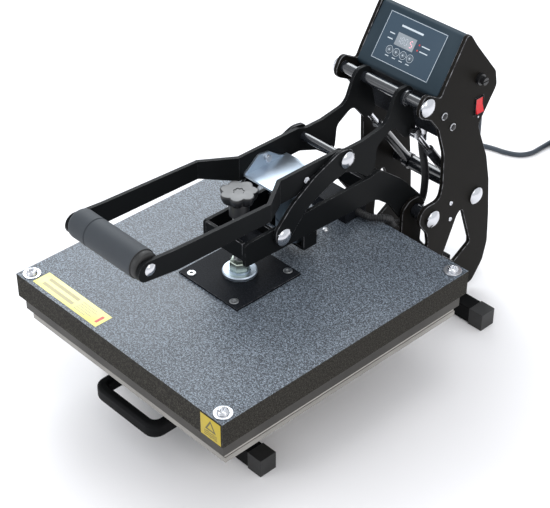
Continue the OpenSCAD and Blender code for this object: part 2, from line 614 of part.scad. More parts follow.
module strut_cylinders() color("#1B1B1D") both() on_strut() difference() {
  union() {
    translate([strut_x - 4, 0, 0]) rotate([0, 90, 0]) cylinder(r = 12, h = 8);
    translate([strut_x, 10, 0]) rotate([-90, 0, 0]) cylinder(r = strut_r, h = 108);
  }
  translate([strut_x - 5, 0, 0]) rotate([0, 90, 0]) cylinder(r = shaft_r + fit, h = 10);
  translate([strut_x, 14, 0]) rotate([-90, 0, 0]) cylinder(r = 4 + fit, h = 106);
}
module strut_rods() color("silver") both() on_strut() union() {
  translate([strut_x, 17, 0]) rotate([-90, 0, 0]) cylinder(r = 4, h = strut_len - 22);
  translate([strut_x - 5, strut_len, 0]) rotate([0, 90, 0]) cylinder(r = 7, h = 10);
}

translate([0, -mid_y, 0]) {
  frame_plate_right();
  frame_plate_left();
  foot_tubes();
  foot_pads();
  base_rails();
  hinge_uprights();
  top_shaft();
  hinge_shaft();
  rear_shaft();
  shaft_caps();
  control_panel();
  control_housing();
  panel_film();
  display();
  circuit_board();
  switch_bezel();
  rocker_switch();
  fuse_holder();
  side_screws();
  slide_rails();
  button_1();
  button_2();
  button_3();
  button_4();
  conduit_gland();
  conduit();
  cord_gland();
  power_cord();
  cord_coil();
  plug();
  lower_plate();
  silicone_pad();
  drawer_carriage();
  drawer_handle();
  arm_plates();
  arm_cross_plates();
  nut_block();
  magnet_post();
  electromagnet();
  link_shaft();
  mount_plate();
  cover_fasteners();
  cover();
  insulation();
  heating_platen();
  wiring_box();
  warning_labels();
  swivel_flange();
  pressure_screw();
  star_knob();
  lever_plates();
  grip_rod();
  foam_grip();
  toggle_shaft();
  u_bracket();
    bracket_bolts();
  toggle_links();
  link_caps();
  strut_cylinders();
  strut_rods();
}
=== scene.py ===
# Heat press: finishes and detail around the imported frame
import json
import math
import bpy
import bmesh
from mathutils import Matrix, Vector


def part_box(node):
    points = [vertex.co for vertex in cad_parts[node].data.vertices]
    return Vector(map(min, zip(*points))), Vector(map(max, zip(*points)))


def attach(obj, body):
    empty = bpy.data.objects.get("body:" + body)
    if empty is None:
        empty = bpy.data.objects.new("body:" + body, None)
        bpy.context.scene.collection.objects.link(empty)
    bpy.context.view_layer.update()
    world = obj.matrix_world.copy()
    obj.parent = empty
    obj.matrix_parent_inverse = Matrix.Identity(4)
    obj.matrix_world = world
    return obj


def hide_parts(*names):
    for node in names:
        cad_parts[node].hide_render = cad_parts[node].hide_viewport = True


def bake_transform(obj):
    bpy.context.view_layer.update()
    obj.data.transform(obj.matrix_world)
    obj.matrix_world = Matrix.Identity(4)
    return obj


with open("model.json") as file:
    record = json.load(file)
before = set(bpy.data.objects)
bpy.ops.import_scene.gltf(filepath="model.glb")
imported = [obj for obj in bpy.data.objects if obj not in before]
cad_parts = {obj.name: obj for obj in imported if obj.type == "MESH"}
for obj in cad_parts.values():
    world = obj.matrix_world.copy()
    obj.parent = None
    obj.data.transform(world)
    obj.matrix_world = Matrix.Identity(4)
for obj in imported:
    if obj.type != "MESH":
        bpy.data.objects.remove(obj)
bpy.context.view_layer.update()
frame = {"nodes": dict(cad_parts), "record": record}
nodes = frame["nodes"]
scene = bpy.context.scene
mm = 0.001
alongX, alongY, alongZ = Vector((1, 0, 0)), Vector((0, 1, 0)), Vector((0, 0, 1))


def corners(node):
    low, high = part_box(node)
    return Vector(low), Vector(high)


def middle(node):
    low, high = corners(node)
    return (low + high) / 2


coverLow, coverHigh = corners("cover")


def at(x, y, z):
    # millimetres, y from the front edge of the cover
    return Vector((x * mm, coverLow.y + y * mm, z * mm))


# camera and light

camera = {"place": (1.1856, -1.1589, 1.3678), "turn": (53.94, 0, 46.54), "lens": 100.27}
lights = {
    "key": {"place": (-2.1, 1.3, 1.9), "size": 2.1, "power": 58, "colour": (0.93, 0.97, 1.0)},
    "side": {"place": (2.2, -0.2, 1.6), "size": 1.4, "power": 9, "colour": (1.0, 0.96, 0.9)},
    "front": {"place": (-0.9, -2.2, 1.5), "size": 1.6, "power": 15, "colour": (0.96, 0.98, 1.0)},
    "top": {"place": (0.2, 0.2, 2.8), "size": 1.2, "power": 12, "colour": (0.97, 0.98, 1.0)},
}
sky = {"colour": (0.93, 0.96, 1.0), "strength": 0.95}
floor = {"size": 40, "colour": (0.93, 0.915, 0.92), "roughness": 0.9}


def makeCamera():
    data = bpy.data.cameras.new("camera")
    data.lens = camera["lens"]
    data.sensor_width = 36
    data.clip_end = 100
    obj = bpy.data.objects.new("camera", data)
    obj.location = camera["place"]
    obj.rotation_euler = [math.radians(a) for a in camera["turn"]]
    scene.collection.objects.link(obj)
    scene.camera = obj


def makeLights():
    for name, one in lights.items():
        data = bpy.data.lights.new(name, "AREA")
        data.shape = "DISK"
        data.size = one["size"]
        data.energy = one["power"]
        data.color = one["colour"]
        obj = bpy.data.objects.new(name, data)
        obj.location = one["place"]
        aim = Vector((0, 0, 0.2)) - obj.location
        obj.rotation_euler = aim.to_track_quat("-Z", "Y").to_euler()
        scene.collection.objects.link(obj)
    world = bpy.data.worlds.new("sky")
    world.use_nodes = True
    world.node_tree.nodes["Background"].inputs["Color"].default_value = (*sky["colour"], 1)
    world.node_tree.nodes["Background"].inputs["Strength"].default_value = sky["strength"]
    scene.world = world
    scene.view_settings.view_transform = "Standard"


# shader arithmetic on node sockets


class Value:
    def __init__(self, stuff, socket):
        self.stuff = stuff
        self.socket = socket

    def __add__(self, other):
        return self.stuff.maths("ADD", self, other)

    def __mul__(self, other):
        return self.stuff.maths("MULTIPLY", self, other)

    __radd__ = __add__
    __rmul__ = __mul__

    def over(self, low, high):
        # 0 at low, 1 at high, smooth between
        settings = {"interpolation_type": "SMOOTHSTEP"}
        inputs = {"Value": self, "From Min": low, "From Max": high}
        return self.stuff.node("ShaderNodeMapRange", settings, inputs)


class Stuff:
    # one material with a Principled shader
    def __init__(self, name, colour, **fixed):
        self.material = bpy.data.materials.new(name)
        self.material.use_nodes = True
        self.tree = self.material.node_tree
        self.shader = self.tree.nodes["Principled BSDF"]
        self.colour = colour
        self.material.diffuse_color = (*colour, 1)
        self.put("Base Color", (*colour, 1))
        for socket, value in fixed.items():
            self.put(socket.replace("_", " "), value)

    def put(self, socket, value):
        target = self.shader.inputs[socket]
        if isinstance(value, Value):
            self.tree.links.new(value.socket, target)
        else:
            target.default_value = value

    def node(self, kind, settings=None, inputs=None, output=0):
        made = self.tree.nodes.new(kind)
        for key, value in (settings or {}).items():
            setattr(made, key, value)
        for key, value in (inputs or {}).items():
            if isinstance(value, Value):
                self.tree.links.new(value.socket, made.inputs[key])
            else:
                made.inputs[key].default_value = value
        return Value(self, made.outputs[output])

    def maths(self, operation, first, second):
        return self.node("ShaderNodeMath", {"operation": operation}, {0: first, 1: second})

    def spot(self, stretch=(1, 1, 1)):
        coords = self.node("ShaderNodeTexCoord", None, None, "Object")
        return self.node("ShaderNodeMapping", None, {"Vector": coords, "Scale": stretch})

    def noise(self, scale, detail=2.0, stretch=(1, 1, 1), rough=0.5):
        inputs = {"Vector": self.spot(stretch), "Scale": scale, "Detail": detail, "Roughness": rough}
        return self.node("ShaderNodeTexNoise", None, inputs)

    def mix(self, amount, first, second):
        # a colour mix: its factor is input 0, its two colours are 6 and 7
        inputs = {0: amount, 6: (*first, 1), 7: (*second, 1)}
        return self.node("ShaderNodeMix", {"data_type": "RGBA"}, inputs, 2)

    def bump(self, height, distance, strength=1.0):
        inputs = {"Height": height, "Distance": distance, "Strength": strength}
        self.put("Normal", self.node("ShaderNodeBump", None, inputs))


def paint(name, colour, gloss=0.35, grain=900, depth=0.05, dust=0.25, tint=(0.16, 0.15, 0.14)):
    # sprayed enamel: orange peel, faint dust and uneven gloss
    made = Stuff(name, colour, Roughness=gloss, Specular_IOR_Level=0.04)
    cloud = made.noise(9, 4)
    specks = made.noise(grain, 2)
    made.put("Base Color", made.mix(cloud.over(0.35, 0.8) * dust, colour, tint))
    made.put("Roughness", cloud * 0.2 + specks * 0.08 + (gloss - 0.14))
    made.bump(specks, depth * mm, 0.6)
    return made.material


def edgeWearHighlight(name, colour):
    # paint rubbed thin on an edge, smoother than the face, and lighter as a painted highlight along the edge
    made = Stuff(name, colour, Roughness=0.3)
    rubAndHighlight = made.noise(130, 3)
    # the lighter edge colour is a painted highlight
    highlightColour = [min(1, c * 5 + 0.09) for c in colour]
    made.put("Base Color", made.mix(rubAndHighlight.over(0.4, 0.62), colour, highlightColour))
    made.put("Metallic", rubAndHighlight.over(0.5, 0.66) * 0.5)
    made.put("Roughness", rubAndHighlight * 0.25 + 0.16)
    return made.material


def grainPaint(name, dark, glint, gloss, shine=0.05):
    # textured powder coat: beads of paint, coloured lighter as painted glints
    made = Stuff(name, dark, Roughness=gloss, Specular_IOR_Level=shine)
    fine = made.noise(1000, 3, rough=0.62)
    coarse = made.noise(420, 2)
    cloud = made.noise(6, 3)
    glintBeads = (fine * 0.65 + coarse * 0.35).over(0.49, 0.57)
    # beads mixed toward the glint colour: painted highlights
    made.put("Base Color", made.mix(glintBeads * (cloud * 0.5 + 0.55), dark, glint))
    made.put("Roughness", glintBeads * 0.14 + cloud * 0.12 + gloss)
    made.bump(fine * 0.7 + coarse * 0.5, 0.5 * mm, 0.75)
    return made.material


def metal(name, colour, gloss=0.22, brush=(1, 1, 1), stain=0.35, shade=(0.35, 0.34, 0.33)):
    made = Stuff(name, colour, Metallic=1.0, Roughness=gloss)
    lines = made.noise(420, 3, brush)
    cloud = made.noise(34, 4)
    made.put("Base Color", made.mix(cloud.over(0.45, 0.75) * stain, colour, shade))
    made.put("Roughness", lines * 0.12 + cloud * 0.16 + (gloss - 0.12))
    made.bump(lines, 0.02 * mm, 0.5)
    return made.material


def rubber(name, colour, gloss=0.6, grain=1500, depth=0.08):
    made = Stuff(name, colour, Roughness=gloss)
    pores = made.noise(grain, 3, rough=0.65)
    cloud = made.noise(22, 3)
    made.put("Base Color", made.mix(cloud * pores, colour, [c * 1.9 + 0.012 for c in colour]))
    made.put("Roughness", pores * 0.22 + (gloss - 0.1))
    made.bump(pores, depth * mm, 0.7)
    return made.material


def plastic(name, colour, gloss=0.28, coat=0.3):
    made = Stuff(name, colour, Roughness=gloss, Coat_Weight=coat, Coat_Roughness=0.12)
    cloud = made.noise(40, 3)
    made.put("Base Color", made.mix(cloud.over(0.4, 0.8) * 0.3, colour, [c * 1.5 + 0.01 for c in colour]))
    made.put("Roughness", cloud * 0.16 + (gloss - 0.07))
    made.bump(made.noise(1200, 2), 0.02 * mm, 0.5)
    return made.material


def cast(name, colour, dark, gloss=0.45, metallic=0.6):
    # bead-blasted plate with handling marks
    made = Stuff(name, colour, Metallic=metallic, Roughness=gloss)
    smear = made.noise(14, 4, (1, 1, 0.3))
    pits = made.noise(950, 2)
    made.put("Base Color", made.mix(smear.over(0.35, 0.75) * 0.6 + pits * 0.2, colour, dark))
    made.put("Roughness", smear * 0.2 + (gloss - 0.1))
    made.bump(pits, 0.06 * mm, 0.6)
    return made.material


def glow(name, colour, light, strength):
    made = Stuff(name, colour, Roughness=0.25)
    cloud = made.noise(90, 2)
    made.put("Base Color", made.mix(cloud, colour, [c * 0.85 for c in colour]))
    made.put("Emission Color", (*light, 1))
    made.put("Emission Strength", strength)
    return made.material


def makeMaterials():
    made = {
        "framePaint": paint("framePaint", (0.01, 0.009, 0.0078), 0.42, 700, 0.06, 0.12, (0.04, 0.036, 0.032)),
        "leverPaint": paint("leverPaint", (0.0075, 0.0082, 0.0088), 0.34, 800, 0.05, 0.12,
                            (0.03, 0.032, 0.035)),
        "tubePaint": paint("tubePaint", (0.0055, 0.0057, 0.006), 0.4, 800, 0.05, 0.15, (0.025, 0.025, 0.027)),
        "shaftGloss": plastic("shaftGloss", (0.018, 0.02, 0.024), 0.16, 0.8),
        # edge finish: real wear plus a painted highlight along rounded edges
        "edgeWearHighlight": edgeWearHighlight("edgeWearHighlight", (0.02, 0.02, 0.022)),
        # cover top: glint colour raised as a painted sheen; cover sides: a darker copy of that paint as
        # painted shade
        "coverTopGrainSheen": grainPaint("coverTopGrainSheen", (0.03, 0.036, 0.046), (0.33, 0.39, 0.46), 0.3, 0.35),
        "coverSidesShade": grainPaint("coverSidesShade", (0.02, 0.0185, 0.016), (0.072, 0.067, 0.057), 0.5),
        "plateGrain": grainPaint("plateGrain", (0.007, 0.0078, 0.0098), (0.022, 0.025, 0.031), 0.42),
        "chrome": metal("chrome", (0.66, 0.67, 0.7), 0.13, stain=0.2, shade=(0.3, 0.3, 0.32)),
        "brightWasher": metal("brightWasher", (0.72, 0.73, 0.76), 0.3, stain=0.2),
        "zinc": metal("zinc", (0.56, 0.64, 0.73), 0.4, (1, 6, 1), 0.3, (0.42, 0.48, 0.53)),
        "dullZinc": metal("dullZinc", (0.2, 0.25, 0.3), 0.4, stain=0.3, shade=(0.12, 0.14, 0.16)),
        "steel": metal("steel", (0.4, 0.41, 0.42), 0.32, (1, 1, 8), 0.4, (0.2, 0.19, 0.17)),
        # heating platen: cast aluminium coloured near-black as painted shade under the cover
        "platenPaintedShade": cast("platenPaintedShade", (0.05, 0.046, 0.04), (0.022, 0.02, 0.018), 0.5, 0.3),
        "plateGrey": cast("plateGrey", (0.33, 0.315, 0.29), (0.2, 0.19, 0.175), 0.5, 0.35),
        "silicone": rubber("silicone", (0.3, 0.285, 0.262), 0.62, 900, 0.1),
        "wool": rubber("wool", (0.62, 0.56, 0.45), 0.9, 500, 0.5),
        "slatePaint": paint("slatePaint", (0.028, 0.043, 0.056), 0.38, 900, 0.04, 0.5, (0.06, 0.08, 0.095)),
        "film": paint("film", (0.052, 0.079, 0.108), 0.4, 1500, 0.02, 0.5, (0.075, 0.102, 0.13)),
        "print": plastic("print", (0.56, 0.62, 0.67), 0.45, 0.0),
        "window": glow("window", (0.24, 0.27, 0.3), (0.3, 0.34, 0.38), 0.12),
        "litSegment": glow("litSegment", (0.75, 0.35, 0.42), (1.0, 0.42, 0.5), 0.55),
        "dimSegment": glow("dimSegment", (0.42, 0.46, 0.5), (0.6, 0.66, 0.72), 0.1),
        "board": plastic("board", (0.015, 0.1, 0.04), 0.4, 0.2),
        "button": plastic("button", (0.075, 0.105, 0.135), 0.35, 0.2),
        "blackPlastic": plastic("blackPlastic", (0.009, 0.009, 0.01), 0.3, 0.08),
        "red": glow("red", (0.62, 0.006, 0.012), (1.0, 0.02, 0.03), 0.12),
        "shoeRubber": rubber("shoeRubber", (0.009, 0.009, 0.009), 0.5, 1200, 0.06),
        "hoseRubber": rubber("hoseRubber", (0.01, 0.01, 0.011), 0.42, 1200, 0.04),
        "foam": rubber("foam", (0.021, 0.026, 0.032), 0.66, 1100, 0.22),
        "sheath": rubber("sheath", (0.022, 0.031, 0.042), 0.4, 800, 0.03),
        "paleLabel": plastic("paleLabel", (0.88, 0.8, 0.26), 0.4, 0.2),
        "deepLabel": plastic("deepLabel", (0.46, 0.34, 0.012), 0.45, 0.05),
        "redMark": plastic("redMark", (0.5, 0.02, 0.015), 0.4, 0.1),
        "greenZinc": metal("greenZinc", (0.5, 0.56, 0.5), 0.32, stain=0.3, shade=(0.3, 0.36, 0.3)),
        "labelInk": plastic("labelInk", (0.1, 0.085, 0.03), 0.5, 0.0),
        "fadedInk": plastic("fadedInk", (0.45, 0.4, 0.22), 0.5, 0.0),
    }
    print("materials made", len(made))
    return made


# mesh helpers


def finish(bm, name, body, material, node=None, slot=None, smooth=35, recalc=True):
    if recalc:
        bmesh.ops.remove_doubles(bm, verts=bm.verts, dist=1e-6)
        bmesh.ops.recalc_face_normals(bm, faces=bm.faces)
    mesh = bpy.data.meshes.new(name)
    bm.to_mesh(mesh)
    bm.free()
    for one in material if isinstance(material, list) else [material]:
        mesh.materials.append(stuffs[one])
    if "custom_normal" in mesh.attributes:
        mesh.attributes.remove(mesh.attributes["custom_normal"])
    mesh.shade_smooth()
    mesh.set_sharp_from_angle(angle=math.radians(smooth))
    obj = bpy.data.objects.new(name, mesh)
    scene.collection.objects.link(obj)
    if body:
        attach(obj, body)
    if node:
        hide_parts(*([node] if isinstance(node, str) else node))
        first = node if isinstance(node, str) else node[0]
        slot = slot or slotOf[first]
    return obj


def frameOn(point, normal, side=None):
    # a matrix whose z is normal and whose place is point
    normal = Vector(normal).normalized()
    side = Vector(side) if side else (alongZ.cross(normal) if abs(normal.z) < 0.9 else alongX)
    side = (side - normal * side.dot(normal)).normalized()
    up = normal.cross(side)
    return Matrix.Translation(point) @ Matrix((side, up, normal)).transposed().to_4x4()


def absorb(bm, part, matrix=None, mat=0):
    # moves a finished part into bm
    if matrix:
        bmesh.ops.transform(part, matrix=matrix, verts=part.verts)
    for face in part.faces:
        face.material_index = mat
    mesh = bpy.data.meshes.new("part")
    part.to_mesh(mesh)
    part.free()
    bm.from_mesh(mesh)
    bpy.data.meshes.remove(mesh)


def lathe(bm, profile, matrix, steps=48, mat=0):
    # profile is (radius, height) pairs in millimetres, turned round z
    part = bmesh.new()
    made = [part.verts.new((r * mm, 0, h * mm)) for r, h in profile]
    edges = [part.edges.new(pair) for pair in zip(made, made[1:])]
    bmesh.ops.spin(part, geom=made + edges, cent=(0, 0, 0), axis=(0, 0, 1), angle=2 * math.pi, steps=steps,
                   use_merge=True)
    bmesh.ops.remove_doubles(part, verts=part.verts, dist=1e-6)
    absorb(bm, part, matrix, mat)


def slab(bm, low, high, matrix=None, mat=0, bevel=0.0):
    # a box from low to high in millimetres, with its edges rounded
    low, high = Vector(low) * mm, Vector(high) * mm
    part = bmesh.new()
    bmesh.ops.create_cube(part, size=1)
    bmesh.ops.scale(part, vec=high - low, verts=part.verts)
    bmesh.ops.translate(part, vec=(low + high) / 2, verts=part.verts)
    if bevel:
        bmesh.ops.bevel(part, geom=list(part.edges), offset=bevel * mm, offset_type="OFFSET", segments=2,
                        profile=0.5, affect="EDGES", material=-1)
    absorb(bm, part, matrix, mat)


def copyOf(node):
    # a merged copy of the node's loose triangles
    bm = bmesh.new()
    bm.from_mesh(nodes[node].data)
    bmesh.ops.remove_doubles(bm, verts=bm.verts, dist=2e-6)
    return bm


def flatten(bm):
    # joins the triangles of each flat face
    bmesh.ops.dissolve_limit(bm, angle_limit=math.radians(1), verts=bm.verts, edges=bm.edges)


def roundEdges(obj, width, segments, angle, mat):
    rounding = obj.modifiers.new("rounding", "BEVEL")
    rounding.width = width * mm
    rounding.segments = segments
    rounding.limit_method = "ANGLE"
    rounding.angle_limit = math.radians(angle)
    rounding.use_clamp_overlap = True
    rounding.material = mat
    rounding.harden_normals = True


def softEdges(node, material, width=0.5, edge=None, angle=28, segments=2):
    # the node's own shape with rounded edges; edge is a second finish for the rounding
    bm = copyOf(node)
    flatten(bm)
    obj = finish(bm, node + "_finished", bodyOf[node], [material, edge or material], node,
                 smooth=angle, recalc=False)
    roundEdges(obj, width, segments, angle, 1)


def smoothPath(points, steps):
    # a Catmull-Rom curve through the points, in metres
    made = []
    last = len(points) - 1
    for i in range(last):
        a, b, c, d = points[max(i - 1, 0)], points[i], points[i + 1], points[min(i + 2, last)]
        for j in range(steps):
            t = j / steps
            made.append(b + (c - a) * t / 2 + (a - 2.5 * b + 2 * c - d / 2) * t * t
                        + (1.5 * (b - c) + (d - a) / 2) * t ** 3)
    return made + [points[last]]


# the power cord

cord = {"diameter": 8, "middle": (-35, 1015), "turns": (52, 44, 48, 40), "base": 4, "rise": 7}
cordRoute = [(40, 614, 294), (40, 621, 287), (40, 626, 278), (40, 629, 266), (40, 630, 240), (40, 630, 190),
             (40, 630, 140), (40, 630, 90), (40, 630, 62), (40, 631, 44), (39, 635, 29), (36, 642, 17),
             (30, 652, 9), (23, 664, 5.4), (12, 678, 4.2), (-8, 700, 4), (-42, 734, 4), (-82, 772, 4),
             (-124, 812, 4), (-158, 843, 4), (-174, 863, 4), (-175, 885, 4), (-162, 900, 4), (-142, 908, 4),
             (-118, 914, 4), (-98, 925, 4), (-88, 943, 4), (-87, 965, 4), (-87, 990, 4), (-87, 1006, 4)]
cordTail = [(-15, 1050, 12), (-5, 1043, 15), (1, 1033, 18), (3, 1022, 22), (3, 1011, 24)]


def ease(t):
    t = min(max(t, 0), 1)
    return t * t * (3 - 2 * t)


def coilPoints():
    # clockwise from the left side: outer turn, inner turn, then one turn and a third on top
    made = []
    radii = cord["turns"]
    total = 360 * 3 + 110
    for step in range(1, total // 12):
        turned = step * 12
        lap = turned // 360
        within = (turned % 360) / 360
        blend = ease((within - 0.72) / 0.28)
        following = radii[min(lap + 1, len(radii) - 1)]
        radius = radii[lap] + (following - radii[lap]) * blend
        height = cord["base"]
        if lap == 1:
            height += cord["rise"] * blend
        if lap >= 2:
            height += cord["rise"]
        heading = math.radians(180 - turned)
        made.append(at(cord["middle"][0] + radius * math.cos(heading),
                       cord["middle"][1] + radius * math.sin(heading), height))
    return made


def makeCord():
    points = smoothPath([at(*p) for p in cordRoute] + coilPoints() + [at(*p) for p in cordTail], 4)
    length = sum((b - a).length for a, b in zip(points, points[1:]))
    curve = bpy.data.curves.new("power_cord_sheath", "CURVE")
    curve.dimensions = "3D"
    curve.bevel_depth = cord["diameter"] / 2 * mm
    curve.bevel_resolution = 5
    spline = curve.splines.new("POLY")
    spline.points.add(len(points) - 1)
    for point, p in zip(spline.points, points):
        point.co = (*p, 1)
    curve.materials.append(stuffs["sheath"])
    obj = bpy.data.objects.new("power_cord_sheath", curve)
    scene.collection.objects.link(obj)
    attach(obj, "frame")
    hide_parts("power_cord", "cord_coil")
    print("cord length", round(length, 4))
    return obj, length


def makePlug():
    bm = bmesh.new()
    slab(bm, (-13, 974, 15.4), (19, 1004, 32.6), bevel=3.5)
    for x in (-6.5, 12.5):
        place = frameOn(Vector((x, 975, 24)) * mm, -alongY)
        lathe(bm, [(0, 19), (1.8, 18.6), (2.4, 17.4), (2.4, 6)], place, 20, 1)
        lathe(bm, [(2.9, 6), (2.9, 0), (0, 0)], place, 20)
        lathe(bm, [(2.4, 6), (2.9, 6)], place, 20)
    ribs = [(8, 0)]
    for i in range(3):
        rise, neck = i * 2, 6.2 - i * 0.6
        ribs += [(7.6 - i, 1 + rise), (neck, 1.4 + rise), (neck, 2.2 + rise), (7.2 - i, 2.6 + rise)]
    ribs += [(4.2, 7), (0, 7)]
    lathe(bm, ribs, frameOn(Vector((3, 1003.6, 24)) * mm, alongY), 28)
    for i in range(4):
        slab(bm, (-14, 980 + i * 5, 20), (20, 981.6 + i * 5, 28), bevel=0.5)
    bmesh.ops.translate(bm, vec=(0, coverLow.y, 0), verts=bm.verts)
    return finish(bm, "plug_body", "frame", ["blackPlastic", "chrome"], "plug")


def makeCordGland():
    bm = bmesh.new()
    lean = math.radians(-124)
    normal = Vector((0, -math.sin(lean), math.cos(lean)))
    start = at(40, 592.5, 308)
    profile = [(0, -6), (6, -6), (6, 0.2), (9, 0.2), (9, 4.4), (8.4, 5.2), (6.6, 5.4)]
    for i in range(5):
        h = 6.5 + i * 3.8
        r = 6.5 - i * 0.28
        profile += [(r, h), (r, h + 2.2), (r - 1.1, h + 2.5), (r - 1.1, h + 3.5)]
    profile += [(4.9, 25.6), (4.4, 26), (0, 26)]
    lathe(bm, profile, frameOn(start, normal), 36)
    finish(bm, "cord_strain_relief", "frame", "blackPlastic", "cord_gland")


# prepared names

slotOf = {part["node"]: part["material_slot"] for part in frame["record"]["subparts"]}
bodyOf = {node: body for body, members in frame["record"]["behaviour"]["bodies"].items() for node in members}

makeCamera()
makeLights()
stuffs = makeMaterials()
cordPiece, cordLength = makeCord()
plugPiece = makePlug()
makeCordGland()
tuple(at(*cordRoute[0]))


# frame, arm and lever: the frame's own shapes with rounded edges, worn and lighter as a painted edge
# highlight

softened = [
    # node, finish, rounding, edge finish
    ("frame_plate_right", "framePaint", 0.7, "edgeWearHighlight"), ("frame_plate_left", "framePaint", 0.7, "edgeWearHighlight"),
    ("hinge_uprights", "framePaint", 0.6, "edgeWearHighlight"), ("lever_plates", "leverPaint", 0.6, "edgeWearHighlight"),
    ("arm_plates", "leverPaint", 0.6, "edgeWearHighlight"), ("arm_cross_plates", "leverPaint", 0.5, "edgeWearHighlight"),
    ("toggle_links", "leverPaint", 0.6, "edgeWearHighlight"), ("foot_tubes", "tubePaint", 1.2, None),
    ("base_rails", "tubePaint", 1.5, None), ("drawer_carriage", "tubePaint", 0.8, None),
    ("foot_pads", "shoeRubber", 1.4, None), ("slide_rails", "steel", 0.4, None),
    ("top_shaft", "shaftGloss", 0.6, None), ("hinge_shaft", "shaftGloss", 0.6, None),
    ("rear_shaft", "shaftGloss", 0.6, None), ("toggle_shaft", "shaftGloss", 0.5, None),
    ("control_panel", "slatePaint", 0.5, None), ("control_housing", "plateGrain", 0.5, None),
    ("circuit_board", "board", 0.3, None), ("switch_bezel", "blackPlastic", 0.7, None),
    ("lower_plate", "plateGrey", 0.8, None), ("silicone_pad", "silicone", 0.9, None),
    # the heating platen's dark finish is painted shade
    ("heating_platen", "platenPaintedShade", 1.2, None), ("insulation", "wool", 1.0, None),
    ("mount_plate", "plateGrain", 0.6, "edgeWearHighlight"), ("wiring_box", "plateGrain", 1.2, None),
    ("nut_block", "plateGrain", 0.6, None), ("electromagnet", "dullZinc", 0.7, None),
    ("magnet_post", "dullZinc", 0.6, None), ("u_bracket", "zinc", 0.5, None),
    ("rocker_switch", "red", 0.8, None),
    ("strut_cylinders", "shaftGloss", 0.5, None), ("strut_rods", "chrome", 0.5, None),
    ("conduit_gland", "chrome", 0.5, None), ("link_shaft", "chrome", 0.4, None),
    ("grip_rod", "chrome", 0.4, None), ("shaft_caps", "chrome", 0.5, None),
    ("link_caps", "chrome", 0.5, None), ("bracket_bolts", "chrome", 0.4, None),
    ("fuse_holder", "blackPlastic", 0.6, None),
]
softened += [("button_%d" % (i + 1), "button", 0.6, None) for i in range(4)]
for node, finishName, width, edgeName in softened:
    softEdges(node, finishName, width, edgeName)
print("softened", len(softened))


# cover: textured top with a painted sheen, its sides a darker copy of the same paint as painted shade

def makeCover():
    bm = copyOf("cover")
    flatten(bm)
    # side faces get the darker painted-shade copy of the cover paint
    for face in bm.faces:
        if abs(face.normal.z) < 0.5:
            face.material_index = 1
    finishes = ["coverTopGrainSheen", "coverSidesShade", "edgeWearHighlight"]
    obj = finish(bm, "cover_painted", "arm", finishes, "cover", recalc=False)
    roundEdges(obj, 1.1, 3, 30, 2)


fasteners = {"edge": 14.7, "washer": 12, "head": 7.5, "socket": 3.4, "screw": 6.0, "stud": 4.5}


def makeFasteners():
    bm = bmesh.new()
    top = coverHigh.z / mm
    low, high = coverLow / mm, coverHigh / mm
    edge = fasteners["edge"]
    w, h, r = fasteners["washer"], fasteners["head"], fasteners["socket"]
    washer = [(0, -14), (3, -14), (3, 0), (w - 0.4, 0), (w, 0.4), (w, 1.1), (w - 0.4, 1.5), (h + 0.3, 1.5)]
    head = [(h, 1.5), (h, 3.2), (h - 0.9, 4.9), (h - 2.4, 5.8), (r + 0.5, 6), (r, 5.7), (r, 3.4), (0, 3.4)]
    for x in (low.x + edge, high.x - edge):
        for y in (low.y + edge, high.y - edge):
            place = frameOn(Vector((x, y, top)) * mm, alongZ)
            lathe(bm, washer, place, 40, 1)
            lathe(bm, head, place, 40, 0)
            lathe(bm, [(h + 0.3, 1.5), (h, 1.5)], place, 40, 2)
    plateLow, plateHigh = corners("mount_plate")
    for x in (plateLow.x / mm + 15, plateHigh.x / mm - 15):
        for y in (plateLow.y / mm + 9, plateHigh.y / mm - 9):
            place = frameOn(Vector((x, y, top)) * mm, alongZ)
            r = fasteners["screw"]
            screw = [(0, -20), (3, -20), (3, 3), (r, 3), (r, 3.7), (r - 0.7, 4.2), (2.6, 4.2), (2.2, 3.9)]
            lathe(bm, screw + [(2.2, 2.4), (0, 2.4)], place, 32, 3)
    for x, y in ((8, 359), (3, 344)):
        place = frameOn(at(x, y, top), alongZ)
        r = fasteners["stud"]
        stud = [(0, -34), (2.5, -34), (2.5, 0), (r, 0), (r, 2.6), (r - 0.6, 3.2), (2.4, 3.4)]
        lathe(bm, stud + [(1.9, 4), (0, 4)], place, 6, 1)
    finishes = ["chrome", "brightWasher", "blackPlastic", "steel"]
    finish(bm, "cover_screws", "arm", finishes, "cover_fasteners")


# labels: plain bars and a triangle stand for the print

